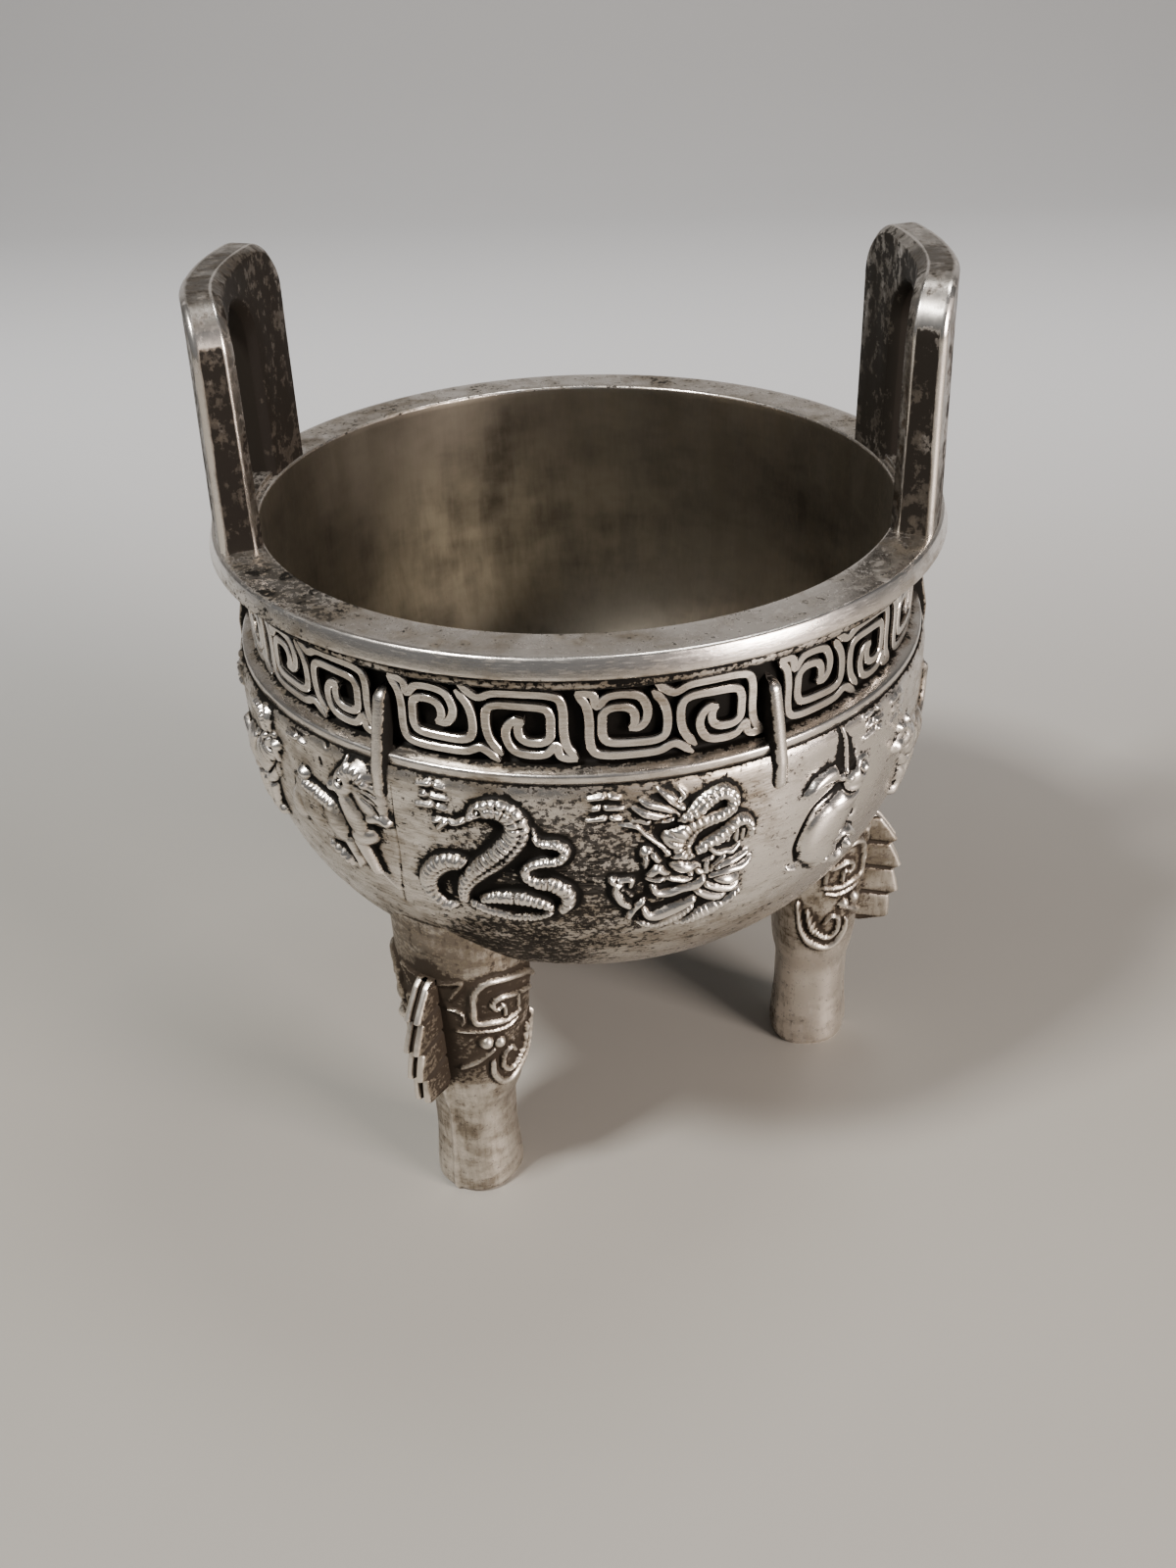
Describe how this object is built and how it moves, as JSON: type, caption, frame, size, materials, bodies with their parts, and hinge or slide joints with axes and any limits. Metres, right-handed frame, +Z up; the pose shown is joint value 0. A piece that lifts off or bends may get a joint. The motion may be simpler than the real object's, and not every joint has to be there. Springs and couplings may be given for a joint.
{
  "type": "small three-legged ding vessel",
  "caption": "Small cast three-legged bowl with two upright slotted ears, a key-fret band under the rim and animals in relief round the belly.",
  "frame": {"origin": "on the floor under the three feet, on the vessel's own upright axis", "axes": "+Z up; +X through one ear and the leg under it; the front, with two legs to the sides, faces -Y"},
  "size_m": [0.071, 0.071, 0.0909],
  "materials": {
    "antiqued_silver": "silver-coloured plating over a copper alloy, worn bright on the high places, black patina in the recesses"
  },
  "bodies": {
    "root": {"ding_vessel": "antiqued_silver"}
  },
  "joints": []
}
